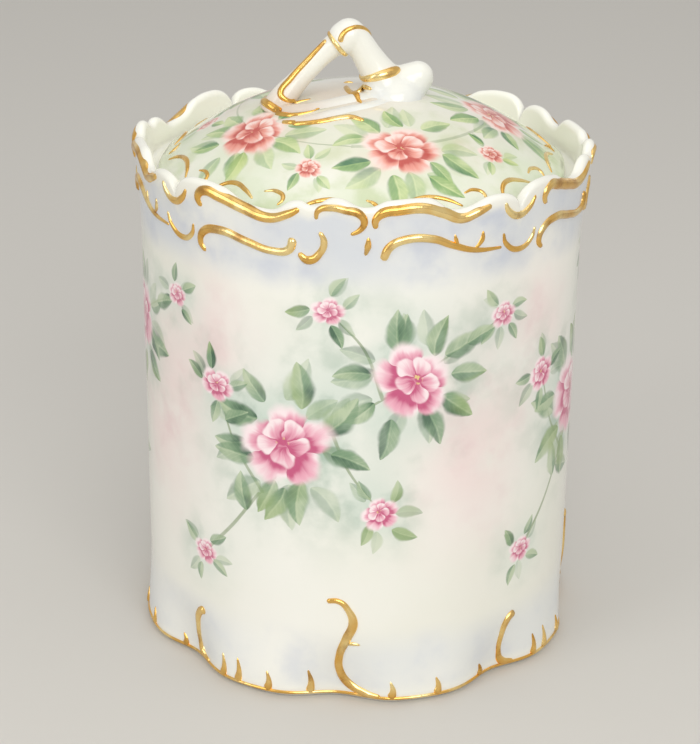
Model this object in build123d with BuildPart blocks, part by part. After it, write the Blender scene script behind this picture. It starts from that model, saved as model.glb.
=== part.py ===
"""A lidded porcelain jar: a lobed, ruffled body with raised scrolls, and a domed lid with a twig handle.

Millimetres, +Z up. The origin is the centre of the foot, on the surface that the jar stands on.
Angles are in degrees round +Z from the front of the jar, which faces -Y, towards +X.
"""

import os
from bisect import bisect_right
from math import cos, pi, radians, sin, sqrt

from build123d import *

# Wall and foot
WALL_RADIUS = 65.0  # outside of the wall at mid height
WALL = 4.5
FLOOR = 5.0
LOBES = 8
FLUTE = 0.5  # depth of the soft flutes that the lobes carry up the wall
FOOT_FLARE = 1.6  # how far the tips of the foot's lobes stand out from the wall
FOOT_NOTCH = 4.4  # depth of the notches between the lobes
FOOT_HEIGHT = 24.0  # over which the lobes fade into the wall
FOOT_EDGE = 2.5  # height of the foot's widest line
FOOT_TUCK = 0.8  # how far the foot draws in below that line
FOOT_RING = 8.0  # width of the ring that the jar stands on, at the notches
FOOT_RECESS = 2.5  # depth of the hollow under the floor
CAVITY_FILLET = 9.0

# Rim
RIM_HEIGHT = 153.0  # tops of the rim's waves
NECK_DROP = 27.0  # from there down to where the wall starts to flare
RIM_FLARE = 1.3  # how far the rim stands out from the wall
RIM_WALL = 3.2
RIM_RUFFLE = 0.9  # how far the rim sways out and in
RIM_REPEATS = 4

# Lid and the ledge that it rests on
LEDGE_DROP = 11.0  # from the wave tops down to the ledge
LEDGE_THICKNESS = 3.0
LEDGE_WIDTH = 3.0
LID_CLEARANCE = 1.4  # from the lid's border to the rim
LID_EDGE = 2.8  # thickness of the border
LID_BORDER = 1.6  # from the foot of the dome to the border's edge
LID_SCALLOP = 0.8  # depth of the scallops round the border
LID_RISE = 21.5  # of the dome above the border
LID_WALL = 3.6
LID_FILLET = 0.8
SKIRT_DEPTH = 6.0
SKIRT_WALL = 2.6
SKIRT_CLEARANCE = 0.6

# Twig handle: centre and radius of each section, from the top of the dome
LEFT_CANE = [
    ((-24.5, -10.6, -6.8), 5.0),
    ((-22.0, -9.6, -2.0), 4.0),
    ((-18.4, -8.3, 2.4), 3.2),
    ((-13.1, -6.9, 8.0), 2.9),
    ((-9.2, -5.9, 11.8), 3.2),
    ((-4.2, -5.2, 15.9), 4.0),
]
RIGHT_CANE = [
    ((-3.4, -5.2, 16.3), 4.2),
    ((-0.6, -4.7, 12.8), 4.1),
    ((1.7, -4.2, 9.1), 4.4),
    ((4.2, -3.7, 5.1), 5.2),
    ((8.2, -2.8, -2.3), 8.5),
]
ROOT = [
    ((6.6, -3.2, 0.3), 5.4),
    ((11.5, -2.0, 1.9), 5.0),
    ((15.6, -1.0, 3.3), 4.6),
]
KNUCKLE = ((-3.9, -5.2, 15.7), 4.8)
BAND_WIDTH = 1.8  # of the gilt bands
BAND_HEIGHT = 0.9
BAND_CLEARANCE = 0.3  # between a band and its cane

# Waves of the rim over one repeat: angle, drop below the wave tops
RIM_WAVE = [
    (-45.0, 7.0),
    (-38.2, 0.4),
    (-31.0, 1.2),
    (-18.0, 5.3),
    (-9.6, 1.6),
    (-7.0, 2.6),
    (-1.0, 0.0),
    (6.1, 2.6),
    (11.4, 0.9),
    (20.4, 0.8),
    (28.5, 4.6),
    (39.0, 1.8),
]

# Raised scrolls over one repeat: width, then angles and drops below the wave tops
RIM_SCROLLS = {
    "long_left": (
        3.0,
        [(-37.2, 8), (-38.4, 5.2), (-36.8, 2.8), (-31, 3.4)]
        + [(-24, 5.6), (-17.5, 7.3), (-12, 5.6), (-9.6, 3.8)],
    ),
    "arch": (
        2.0,
        [(-6.6, 6.6), (-6.2, 4.2), (-3, 2.2), (0.8, 2.6), (4.4, 5), (5, 7.6), (2.4, 10.4)],
    ),
    "long_right": (
        2.8,
        [(9.2, 8.6), (8.2, 6), (9.8, 3.4), (13.5, 2.7), (20.5, 3)]
        + [(25, 5.2), (29, 6.7), (34, 5.6), (38, 3.7)],
    ),
    "cup": (
        2.0,
        [(40.8, 4.6), (42.6, 8), (45.2, 9.2), (47.8, 7.2), (49.2, 4)],
    ),
}
COLLAR_SCROLLS = {
    "left": (
        2.6,
        [(-38.4, 21.5), (-40.4, 18.6), (-39, 15.4), (-33, 14.4)]
        + [(-26, 14.6), (-19, 16.2), (-14.5, 16.6), (-11.4, 13.4)],
    ),
    "hook": (
        1.9,
        [(-9.6, 14), (-8.6, 17.2), (-6.4, 18.6), (-4.4, 15.8), (-4, 12)],
    ),
    "right": (
        2.4,
        [(11, 16.8), (12.2, 13.8), (16, 12.2), (22, 12), (27, 13.2), (32, 15.8), (38.5, 17), (44.5, 16)],
    ),
}
# Raised scrolls at the foot: width, then angles and heights
FOOT_SCROLLS = {
    "long": (1.9, [(-1.6, 33), (3.4, 27), (2.2, 20), (0.4, 14), (3.4, 7.5), (8, 4)]),
    "short": (1.7, [(48, 20.5), (45, 17.5), (43.8, 12), (45.2, 6), (47.5, 3.4)]),
}
BEAD_HEIGHT = 1.1
BEAD_SEAT = 0.1  # gap between a bead and the surface that it is laid on
BEAD_STATIONS = 12
BEAD_END = 0.45  # width of a bead's ends, as a share of its widest
# Outline of a bead or a band: shares of half its width and of its height
BEAD_OUTLINE = [(-1, 0), (-0.62, 0.78), (0, 1), (0.62, 0.78), (1, 0)]

# How finely the outlines are drawn
POINTS_PER_LOBE = 8
FOOT_BANDS = 5
RIM_BANDS = 2
NORMAL_STEP = 0.2  # between the points that a surface's normal is worked out from
WAVE_MARGIN = 1.0  # from the lowest wave down to the rim's last section
CUT_MARGIN = 5.0  # how far cutting shapes pass the faces that they cut

inner_radius = WALL_RADIUS - WALL
neck_height = RIM_HEIGHT - NECK_DROP
rim_top = RIM_HEIGHT + CUT_MARGIN
rim_low = RIM_HEIGHT - max(drop for degrees, drop in RIM_WAVE)
ledge_height = RIM_HEIGHT - LEDGE_DROP
mouth_radius = inner_radius - LEDGE_WIDTH
cavity_floor = FOOT_RECESS + FLOOR


def fade(share):
    """A smooth fall from 1 at no share of the way to 0 at all of it."""
    return (1 + cos(pi * min(max(share, 0.0), 1.0))) / 2


def outer_section(height):
    """Radius, notch depth and ruffle of the outside at one height."""
    foot = fade(height / FOOT_HEIGHT)
    rim = 1 - fade((height - neck_height) / (rim_top - neck_height))
    radius = WALL_RADIUS + FOOT_FLARE * foot + RIM_FLARE * rim
    if height < FOOT_EDGE:
        radius -= FOOT_TUCK
    notch = FLUTE * (1 - rim) + (FOOT_NOTCH - FLUTE) * foot
    return radius, notch, RIM_RUFFLE * rim


def reach(turn, radius, notch, ruffle):
    """Distance from the axis to an outline at one turn, in radians."""
    return radius - notch * ((1 + cos(LOBES * turn)) / 2) ** 2 + ruffle * cos(LOBES * turn)


def polar(turn, radius, height):
    return Vector(radius * sin(turn), -radius * cos(turn), height)


def ring(radius, notch, ruffle):
    """Points of a closed outline with its notches and ruffles."""
    turns = [2 * pi * step / (LOBES * POINTS_PER_LOBE) for step in range(LOBES * POINTS_PER_LOBE)]
    return [polar(turn, reach(turn, radius, notch, ruffle), 0) for turn in turns]


foot_step = (FOOT_HEIGHT - FOOT_EDGE) / FOOT_BANDS
rim_step = (rim_low - WAVE_MARGIN - neck_height) / RIM_BANDS
outer_heights = [0.0]
outer_heights += [FOOT_EDGE + foot_step * band for band in range(FOOT_BANDS + 1)]
outer_heights += [neck_height + rim_step * band for band in range(RIM_BANDS + 1)]
outer_heights += [rim_top]


def on_wall(degrees, height):
    """A point on the outside of the jar, which runs straight from each section to the next."""
    turn = radians(degrees)
    band = min(max(bisect_right(outer_heights, height), 1), len(outer_heights) - 1)
    low, high = outer_heights[band - 1], outer_heights[band]
    share = (height - low) / (high - low)
    radius = (1 - share) * reach(turn, *outer_section(low)) + share * reach(turn, *outer_section(high))
    return polar(turn, radius, height)


def wave_ring(outwards):
    """Points of the rim's waves, moved outwards from the wall."""
    points = []
    for repeat in range(RIM_REPEATS):
        for degrees, drop in RIM_WAVE:
            turn = degrees + 360 / RIM_REPEATS * repeat
            edge = on_wall(turn, RIM_HEIGHT - drop)
            points.append(edge + polar(radians(turn), outwards, 0))
    return points


# Jar body
with BuildPart() as jar_body:
    for height in outer_heights:
        with BuildSketch(Plane.XY.offset(height)):
            with BuildLine():
                Spline(*ring(*outer_section(height)), periodic=True)
            make_face()
    loft(ruled=True)

    # Mouth above the ledge, which follows the ruffle
    for height in (ledge_height, rim_top):
        radius, notch, ruffle = outer_section(height)
        with BuildSketch(Plane.XY.offset(height)):
            with BuildLine():
                Spline(*ring(radius - RIM_WALL, notch, ruffle), periodic=True)
            make_face()
    loft(ruled=True, mode=Mode.SUBTRACT)

    # Inside of the jar, drawn in under the ledge
    with BuildSketch(Plane.XZ):
        with BuildLine():
            Polyline(
                (0, cavity_floor),
                (inner_radius, cavity_floor),
                (inner_radius, ledge_height - LEDGE_THICKNESS - LEDGE_WIDTH),
                (mouth_radius, ledge_height - LEDGE_THICKNESS),
                (mouth_radius, ledge_height),
                (0, ledge_height),
                close=True,
            )
        make_face()
        fillet(vertices().sort_by_distance((inner_radius, cavity_floor)).first, CAVITY_FILLET)
    revolve(axis=Axis.Z, mode=Mode.SUBTRACT)

    # Hollow under the floor, inside the ring that the jar stands on
    with BuildSketch():
        Circle(WALL_RADIUS + FOOT_FLARE - FOOT_NOTCH - FOOT_RING)
    extrude(amount=FOOT_RECESS, mode=Mode.SUBTRACT)

    # Waves of the rim
    with BuildLine(mode=Mode.PRIVATE):
        inner_wave = Spline(*wave_ring(-RIM_WALL - CUT_MARGIN), periodic=True)
        outer_wave = Spline(*wave_ring(RIM_FLARE + CUT_MARGIN), periodic=True)
    wave = Face.make_surface_from_curves(inner_wave.edge(), outer_wave.edge())
    extrude(wave, amount=2 * (rim_top - rim_low), dir=(0, 0, 1), mode=Mode.SUBTRACT)
jar_body.part.label = "jar_body"


# Raised scrolls: flat-backed beads, laid along centre lines on the wall or the dome
def normal_to(surface, across, along):
    """Outward normal of a surface that is given by two coordinates."""
    first = surface(across + NORMAL_STEP, along) - surface(across - NORMAL_STEP, along)
    second = surface(across, along + NORMAL_STEP) - surface(across, along - NORMAL_STEP)
    return first.cross(second).normalized()


def outline(width, height):
    """Points of a flat-backed section that is rounded on top."""
    return [(width / 2 * across, height * up) for across, up in BEAD_OUTLINE]


def bead(surface, width, line):
    """A bead on a surface, widest in the middle, along a line of that surface's two coordinates."""
    with BuildLine(mode=Mode.PRIVATE):
        centre_line = Spline(*line)
    shares = [station / (BEAD_STATIONS - 1) for station in range(BEAD_STATIONS)]
    spots = [centre_line @ share for share in shares]
    points = [surface(spot.X, spot.Y) for spot in spots]
    sections = []
    for station, share in enumerate(shares):
        spot = spots[station]
        normal = normal_to(surface, spot.X, spot.Y)
        ahead = points[min(station + 1, BEAD_STATIONS - 1)] - points[max(station - 1, 0)]
        taper = BEAD_END + (1 - BEAD_END) * sin(pi * share)
        side = normal.cross(ahead)
        with BuildSketch(Plane(points[station] + normal * BEAD_SEAT, x_dir=side, z_dir=ahead)) as section:
            with BuildLine():
                Polyline(*outline(width * taper, BEAD_HEIGHT * taper), close=True)
            make_face()
        sections.append(section.sketch)
    return loft(sections, ruled=True, mode=Mode.PRIVATE)


def below_waves(line):
    """Turn drops below the wave tops into heights."""
    return [(degrees, RIM_HEIGHT - drop) for degrees, drop in line]


with BuildPart() as rim_scrolls:
    for width, line in RIM_SCROLLS.values():
        scroll = bead(on_wall, width, below_waves(line))
        with PolarLocations(0, RIM_REPEATS):
            add(scroll)
rim_scrolls.part.label = "rim_scrolls"

with BuildPart() as collar_scrolls:
    for width, line in COLLAR_SCROLLS.values():
        scroll = bead(on_wall, width, below_waves(line))
        with PolarLocations(0, RIM_REPEATS):
            add(scroll)
collar_scrolls.part.label = "collar_scrolls"

with BuildPart() as foot_scrolls:
    for width, line in FOOT_SCROLLS.values():
        scroll = bead(on_wall, width, line)
        with PolarLocations(0, RIM_REPEATS):
            add(scroll)
foot_scrolls.part.label = "foot_scrolls"

# Lid dome, with a border that rests on the ledge and a skirt that keeps it centred
ledge_radius, ledge_notch, ledge_ruffle = outer_section(ledge_height)
lid_radius = ledge_radius - RIM_WALL - ledge_notch - ledge_ruffle - LID_CLEARANCE
border_height = ledge_height + LID_EDGE
dome_foot = lid_radius - LID_BORDER
dome_radius = (dome_foot**2 + LID_RISE**2) / (2 * LID_RISE)
dome_top = border_height + LID_RISE
dome_centre = dome_top - dome_radius
skirt_outer = mouth_radius - SKIRT_CLEARANCE
skirt_inner = skirt_outer - SKIRT_WALL


def dome_height(radius, inset=0.0):
    """Height of the dome, or of a surface inset under it, at one radius."""
    return dome_centre + sqrt((dome_radius - inset) ** 2 - radius**2)


with BuildPart() as lid_dome:
    with BuildSketch(Plane.XZ):
        with BuildLine():
            ThreePointArc(
                (0, dome_top),
                (dome_foot / 2, dome_height(dome_foot / 2)),
                (dome_foot, border_height),
            )
            Polyline(
                (dome_foot, border_height),
                (dome_foot, ledge_height),
                (skirt_outer, ledge_height),
                (skirt_outer, ledge_height - SKIRT_DEPTH),
                (skirt_inner, ledge_height - SKIRT_DEPTH),
                (skirt_inner, dome_height(skirt_inner, LID_WALL)),
            )
            ThreePointArc(
                (skirt_inner, dome_height(skirt_inner, LID_WALL)),
                (skirt_inner / 2, dome_height(skirt_inner / 2, LID_WALL)),
                (0, dome_top - LID_WALL),
            )
            Line((0, dome_top - LID_WALL), (0, dome_top))
        make_face()
        skirt_end = vertices().group_by(Axis.Y)[0]
        fillet(skirt_end, LID_FILLET)
    revolve(axis=Axis.Z)

    # Scalloped border
    with BuildSketch(Plane.XY.offset(ledge_height)):
        with BuildLine():
            Spline(*ring(lid_radius, LID_SCALLOP, 0), periodic=True)
        make_face()
        Circle(skirt_outer, mode=Mode.SUBTRACT)
    extrude(amount=LID_EDGE)
lid_dome.part.label = "lid_dome"


# Twig handle: two canes that meet in a knuckle, and a root stub, seated on the dome
def from_dome(spot):
    return Vector(*spot) + Vector(0, 0, dome_top)


def cane(stations):
    """A cane through round sections, each square to the line through its neighbours."""
    centres = [from_dome(spot) for spot, radius in stations]
    sections = []
    for index, (spot, radius) in enumerate(stations):
        ahead = centres[min(index + 1, len(stations) - 1)] - centres[max(index - 1, 0)]
        with BuildSketch(Plane(centres[index], z_dir=ahead)) as section:
            Circle(radius)
        sections.append(section.sketch)
    return loft(sections, mode=Mode.PRIVATE)


with BuildPart() as lid_handle:
    add(cane(LEFT_CANE))
    add(cane(RIGHT_CANE))
    add(cane(ROOT))
    for spot, radius in (KNUCKLE, ROOT[-1]):
        with Locations(from_dome(spot)):
            Sphere(radius)
    with Locations((0, 0, dome_centre)):
        Sphere(dome_radius + BEAD_SEAT, mode=Mode.SUBTRACT)
lid_handle.part.label = "lid_handle"

# Gilt bands where the canes meet the knuckle and the root
with BuildPart() as handle_bands:
    for stations, index in ((LEFT_CANE, 4), (RIGHT_CANE, 1), (RIGHT_CANE, 3)):
        spot, radius = stations[index]
        ahead = from_dome(stations[index + 1][0]) - from_dome(stations[index - 1][0])
        across = Plane(from_dome(spot), z_dir=ahead)
        along = Plane(across.origin, x_dir=across.x_dir, z_dir=across.x_dir.cross(across.z_dir))
        with BuildSketch(along):
            with BuildLine():
                bore = radius + BAND_CLEARANCE
                Polyline(*[(bore + up, side) for side, up in outline(BAND_WIDTH, BAND_HEIGHT)], close=True)
            make_face()
        revolve(axis=Axis(across.origin, across.z_dir))
handle_bands.part.label = "handle_bands"

os.makedirs("parts", exist_ok=True)
for piece in (jar_body, rim_scrolls, collar_scrolls, foot_scrolls, lid_dome, lid_handle, handle_bands):
    export_step(piece.part, f"parts/{piece.part.label}.step")
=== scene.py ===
# %% [markdown]
# # A gilded porcelain jar
# The jar stands on a lobed foot, has a ruffled rim with raised gold scrolls, and a domed lid with a twig handle.
# The solids come from the CAD frame. This lesson gives them their glaze, their gold and their painted flowers.
# Everything is in the frame's own place, so no piece is moved after it is made.

import bpy
import numpy as np
from mathutils import Matrix, Vector


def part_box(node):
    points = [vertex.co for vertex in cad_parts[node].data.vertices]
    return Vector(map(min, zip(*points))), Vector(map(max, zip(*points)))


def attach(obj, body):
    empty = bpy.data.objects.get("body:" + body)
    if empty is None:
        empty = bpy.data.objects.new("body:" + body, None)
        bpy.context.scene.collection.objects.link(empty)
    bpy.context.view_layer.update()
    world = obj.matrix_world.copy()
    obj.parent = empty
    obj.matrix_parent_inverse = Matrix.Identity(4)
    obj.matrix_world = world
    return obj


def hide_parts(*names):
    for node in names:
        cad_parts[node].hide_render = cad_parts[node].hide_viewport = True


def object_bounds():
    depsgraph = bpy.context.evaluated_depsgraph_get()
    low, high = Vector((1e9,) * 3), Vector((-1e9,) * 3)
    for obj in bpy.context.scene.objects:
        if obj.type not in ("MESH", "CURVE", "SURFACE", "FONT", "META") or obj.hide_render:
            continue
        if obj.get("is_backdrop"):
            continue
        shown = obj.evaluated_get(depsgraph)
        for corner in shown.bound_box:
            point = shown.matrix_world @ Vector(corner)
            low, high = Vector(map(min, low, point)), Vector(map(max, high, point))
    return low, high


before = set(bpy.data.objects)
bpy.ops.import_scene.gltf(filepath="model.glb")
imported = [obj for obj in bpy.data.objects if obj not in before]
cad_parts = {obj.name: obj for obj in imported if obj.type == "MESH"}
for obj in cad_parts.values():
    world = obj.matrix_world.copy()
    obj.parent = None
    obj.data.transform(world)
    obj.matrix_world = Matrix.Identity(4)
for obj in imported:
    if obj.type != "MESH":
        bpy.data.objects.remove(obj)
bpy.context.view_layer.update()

# %% [markdown]
# ## Sizes
# A potter's drawing is in millimetres, so the sizes below are too, and one value turns them into Blender's metres.
# They are the frame's own sizes, because each visible piece has to lie where its solid lies.

# %% Sizes of the jar and the lid
MM = 0.001
WALL_RADIUS, LOBES, FLUTE = 65.0, 8, 0.5
FOOT_FLARE, FOOT_NOTCH, FOOT_HEIGHT, FOOT_EDGE, FOOT_TUCK = 1.6, 4.4, 24.0, 2.5, 0.8
FOOT_RECESS, RECESS_RADIUS = 2.5, 54.2
RIM_HEIGHT, NECK_HEIGHT, RIM_TOP = 153.0, 126.0, 158.0
RIM_FLARE, RIM_WALL, RIM_RUFFLE, REPEATS = 1.3, 3.2, 0.9, 4
LEDGE_HEIGHT, LEDGE_THICKNESS, MOUTH_RADIUS, INNER_RADIUS = 142.0, 3.0, 57.5, 60.5
CAVITY_FLOOR, CAVITY_FILLET = 7.5, 9.0
LID_RADIUS = 500 * (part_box("lid_dome")[1].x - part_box("lid_dome")[0].x)
LID_BORDER, LID_SCALLOP, LID_EDGE, LID_RISE, LID_WALL = 1.6, 0.8, 2.8, 21.5, 3.6
SKIRT_OUTER, SKIRT_INNER, SKIRT_DEPTH = 56.9, 54.3, 6.0
BORDER_HEIGHT = LEDGE_HEIGHT + LID_EDGE
DOME_FOOT = LID_RADIUS - LID_BORDER
DOME_RADIUS = (DOME_FOOT**2 + LID_RISE**2) / (2 * LID_RISE)
DOME_TOP = BORDER_HEIGHT + LID_RISE
DOME_CENTRE = DOME_TOP - DOME_RADIUS
print("lid radius", round(LID_RADIUS, 2), "dome radius", round(DOME_RADIUS, 2), "dome top", round(DOME_TOP, 2))

# %% [markdown]
# ## Small helpers for node trees
# Shader trees and geometry trees share their Math node, so one class writes sums for both. A plus sign between two
# results adds a Math node to their tree. A value that is a result is linked, and any other is typed into the node.

# %% Helpers for nodes
class Result:
    """What a node gives. The numbers among the results are added and multiplied like plain ones."""

    def __init__(self, socket):
        self.socket, self.tree = socket, socket.id_data

    def __add__(self, other):
        return calc("ADD", self, other)

    def __sub__(self, other):
        return calc("SUBTRACT", self, other)

    def __rsub__(self, other):
        return calc("SUBTRACT", other, self)

    def __mul__(self, other):
        return calc("MULTIPLY", self, other)

    def __truediv__(self, other):
        return calc("DIVIDE", self, other)

    def __rtruediv__(self, other):
        return calc("DIVIDE", other, self)

    def __pow__(self, other):
        return calc("POWER", self, other)


def feed(value, socket):
    """Give a socket a node's result, or a plain value."""
    if isinstance(value, Result):
        socket.id_data.links.new(value.socket, socket)
    else:
        socket.default_value = value


def tree_of(values):
    """The tree that the results among some values come from."""
    return next(value.tree for value in values if isinstance(value, Result))


def calc(operation, *values, kind="ShaderNodeMath"):
    """Add a Math node and return its result."""
    node = tree_of(values).nodes.new(kind)
    node.operation = operation
    for value, socket in zip(values, node.inputs):
        feed(value, socket)
    return Result(node.outputs[0])


def add(tree, kind, give=0, settings=(), **inputs):
    """Add a node with its settings and its inputs by name, and return one of its results."""
    node = tree.nodes.new(kind)
    for name, value in dict(settings).items():
        setattr(node, name, value)
    for name, value in inputs.items():
        feed(value, node.inputs[name.replace("_", " ")])
    return Result(node.outputs[give])


def ease(value, start, end):
    """A smooth step from 0 at start to 1 at end, which may run downwards."""
    smooth = {"interpolation_type": "SMOOTHSTEP"}
    return add(value.tree, "ShaderNodeMapRange", "Result", smooth, Value=value, From_Min=start, From_Max=end)


def held(value):
    """A number kept between 0 and 1."""
    return calc("MINIMUM", calc("MAXIMUM", value, 0.0), 1.0)


def length(across, up):
    """How far a flat place lies from the middle."""
    return calc("SQRT", across * across + up * up)


def split(vector):
    """The three numbers of a vector."""
    node = vector.tree.nodes.new("ShaderNodeSeparateXYZ")
    feed(vector, node.inputs[0])
    return [Result(socket) for socket in node.outputs]


def join(x, y, z):
    """A vector from three numbers."""
    return add(tree_of((x, y, z)), "ShaderNodeCombineXYZ", X=x, Y=y, Z=z)


def rolled(turn, radius, height):
    """A place in space from a turn round the axis, and from a radius and a height in millimetres."""
    return join(calc("SINE", turn) * (radius * MM), calc("COSINE", turn) * (radius * -MM), height * MM)


def new_tree(name, kind, inputs, outputs):
    """A node group, its inputs by name and its outputs by name."""
    tree = bpy.data.node_groups.new(name, kind)
    for label, sort, default in inputs:
        socket = tree.interface.new_socket(name=label, in_out="INPUT", socket_type="NodeSocket" + sort)
        if default is not None:
            socket.default_value = default
    for label, sort in outputs:
        tree.interface.new_socket(name=label, in_out="OUTPUT", socket_type="NodeSocket" + sort)
    given = {socket.name: Result(socket) for socket in tree.nodes.new("NodeGroupInput").outputs}
    return tree, given, tree.nodes.new("NodeGroupOutput").inputs


def use_group(group, **values):
    """Put a node group into the tree of its values, and return its results by name."""
    tree = tree_of(values.values())
    node = tree.nodes.new("GeometryNodeGroup" if tree.type == "GEOMETRY" else "ShaderNodeGroup")
    node.node_tree = group
    for name, value in values.items():
        feed(value, node.inputs[name])
    return {socket.name: Result(socket) for socket in node.outputs}


print("helpers are ready")

# %% [markdown]
# ## Pieces and how they are kept
# A modifier's result is made a plain mesh, because the export wants plain meshes and the frame's checks do too.
# A tree's inputs are set by their identifiers before the piece is evaluated for the first time.

# %% Helpers for pieces
def add_piece(name, data):
    """An object at the origin that holds a mesh or a curve."""
    piece = bpy.data.objects.new(name, data)
    bpy.context.scene.collection.objects.link(piece)
    return piece


def as_plain_mesh(piece):
    """Swap a piece for the plain mesh that its modifiers give."""
    graph = bpy.context.evaluated_depsgraph_get()
    mesh = bpy.data.meshes.new_from_object(piece.evaluated_get(graph), preserve_all_data_layers=True, depsgraph=graph)
    name = piece.name
    bpy.data.objects.remove(piece)
    mesh.name = name
    return add_piece(name, mesh)


def grow(piece, tree, **values):
    """Run a geometry tree on a piece and keep the result."""
    modifier = piece.modifiers.new(tree.name, "NODES")
    modifier.node_group = tree
    for item in tree.interface.items_tree:
        if item.in_out == "INPUT" and item.name in values:
            modifier[item.identifier] = values[item.name]
    return as_plain_mesh(piece)


def finish_piece(piece, body, slot, *nodes):
    """Tell the frame what the piece rides on and hide the nodes it stands for; the finish slot is not used."""
    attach(piece, body)
    if nodes:
        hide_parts(*nodes)
    print(piece.name, len(piece.data.polygons), "faces on", body)


def read(things, field, width=1, kind=float):
    """One field of all points, corners or faces of a mesh, in rows where it is a vector."""
    values = np.empty(len(things) * width, kind)
    things.foreach_get(field, values)
    return values.reshape(-1, width) if width > 1 else values


def points_of(mesh):
    """A mesh's points in millimetres."""
    return read(mesh.vertices, "co", 3) / MM


def move_points(mesh, spots):
    """Put a mesh's points at new places, in millimetres."""
    mesh.vertices.foreach_set("co", (spots * MM).ravel())
    mesh.update()


def keep(mesh, name, values, domain="POINT"):
    """Store a number or a vector at every point or corner of a mesh, where its tree or its finish reads it."""
    values = np.asarray(values, float)
    kind, field = ("FLOAT", "value") if values.ndim == 1 else ("FLOAT_VECTOR", "vector")
    mesh.attributes.new(name, kind, domain).data.foreach_set(field, values.ravel())


def faded(value, start, end):
    """The smooth step again, for plain numbers and for arrays."""
    share = np.clip((value - start) / (end - start), 0, 1)
    return share * share * (3 - 2 * share)


def polar(points):
    """The turn round the axis and the distance from it, for many points."""
    return np.arctan2(points[:, 0], -points[:, 1]), np.hypot(points[:, 0], points[:, 1])


def unit(vectors):
    """The same ways, each of length one."""
    return vectors / np.linalg.norm(vectors, axis=-1, keepdims=True)


print("pieces can be made")

# %% [markdown]
# ## The wall's rule
# The wall follows one rule: eight lobes at the foot fade upwards, and the rim flares and sways.
# The rule is a node group, because the body and the gold scrolls on it both need it, and they must agree.

# %% The wall's rule as a node group
def build_wall_rule():
    sizes = [
        ("Lobes", LOBES), ("Flute", FLUTE), ("Foot notch", FOOT_NOTCH), ("Foot height", FOOT_HEIGHT),
        ("Foot flare", FOOT_FLARE), ("Rim flare", RIM_FLARE), ("Rim ruffle", RIM_RUFFLE),
        ("Neck height", NECK_HEIGHT), ("Rim top", RIM_TOP), ("Wall radius", WALL_RADIUS),
    ]
    inputs = [("Turn", "Float", None), ("Height", "Float", None)]
    inputs += [(name, "Float", float(value)) for name, value in sizes]
    tree, given, made = new_tree("Wall rule", "GeometryNodeTree", inputs, [("Radius", "Float")])
    height, neck, flute = given["Height"], given["Neck height"], given["Flute"]

    def fade(share):
        return calc("COSINE", held(share) * np.pi) * 0.5 + 0.5

    foot = fade(height / given["Foot height"])
    plain = fade((height - neck) / (given["Rim top"] - neck))
    rim = 1.0 - plain
    lobe = calc("COSINE", given["Turn"] * given["Lobes"])
    valley = (lobe * 0.5 + 0.5) ** 2.0
    notch = flute * plain + (given["Foot notch"] - flute) * foot
    flare = given["Foot flare"] * foot + given["Rim flare"] * rim
    sway = given["Rim ruffle"] * rim * lobe
    feed(given["Wall radius"] + flare - notch * valley + sway, made["Radius"])
    return tree


wall_rule = build_wall_rule()
print("wall rule with", len(wall_rule.nodes), "nodes")

# %% [markdown]
# ## Colours and paint
# The painter's colours are written as they look on a screen, and turned into the linear values that shaders use.
# A wash is mixed over the glaze colour by a share, so every finish is a stack of mixes.

# %% Helpers for paint
MIX_SHARE, MIX_FIRST, MIX_SECOND, MIX_COLOUR = 0, 6, 7, 2


def tint(code):
    """A linear colour from a hexadecimal one."""
    shown = np.array([int(code[place:place + 2], 16) / 255 for place in (0, 2, 4)])
    linear = np.where(shown <= 0.04045, shown / 12.92, ((shown + 0.055) / 1.055) ** 2.4)
    return (*linear.tolist(), 1.0)


def tints(codes):
    """Several linear colours from a row of hexadecimal ones."""
    return [tint(code) for code in codes.split()]


def mixed(share, first, second):
    """The second colour laid over the first by a share."""
    node = share.tree.nodes.new("ShaderNodeMix")
    node.data_type = "RGBA"
    for value, place in ((share, MIX_SHARE), (first, MIX_FIRST), (second, MIX_SECOND)):
        feed(value, node.inputs[place])
    return Result(node.outputs[MIX_COLOUR])


def grain(tree, scale, detail=3.0, place=None):
    """Cloudy noise between 0 and 1, fixed to the piece."""
    place = place or add(tree, "ShaderNodeTexCoord", "Object")
    return add(tree, "ShaderNodeTexNoise", "Fac", Vector=place, Scale=scale, Detail=detail)


def painted(tree, name):
    """A painted coordinate that the mesh carries."""
    return add(tree, "ShaderNodeAttribute", "Vector", {"attribute_name": name})


def new_finish(name, roughness):
    """A material with a plain shader, and the shader."""
    material = bpy.data.materials.new(name)
    material.use_nodes = True
    shader = material.node_tree.nodes["Principled BSDF"]
    feed(roughness, shader.inputs["Roughness"])
    return material, shader


def ripple(shader, scale, strength, distance):
    """A soft bump, as in a poured glaze or burnished gold."""
    height = grain(shader.id_data, scale)
    bump = add(shader.id_data, "ShaderNodeBump", Strength=strength, Distance=distance, Height=height)
    feed(bump, shader.inputs["Normal"])


print("paint box is open")

# %% [markdown]
# ## A painted blossom
# The blossoms are drawn by the shader, in two rings of five petals round a deep heart.
# Each blossom gets its own flat coordinates on the mesh, from its heart outwards. The inner ring sits a little off
# the middle, so the blossom looks turned to one side.
# A china painter lays a wet stroke and wipes light out of it, so each petal is deep on the side that its neighbour
# shades and pale on the other. Noise bends the coordinates first, which makes the edges waver like a brush's.

# %% The blossom as a shader group
PETALS, PETAL_WAVER, PETAL_CUT, PETAL_BLUNT = 5, 0.42, 0.27, 0.55
INNER_RING, CUP_SHIFT = 0.56, 0.13
HEART = 0.15
DRAWN = [("Colour", "Color"), ("Cover", "Float")]


def toned(depth, pale, middle, deep):
    """A colour from pale over middle to deep, as the depth of the paint goes from 0 to 1."""
    return mixed(ease(depth, 0.45, 1.0), mixed(ease(depth, 0.0, 0.55), pale, middle), deep)


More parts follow.
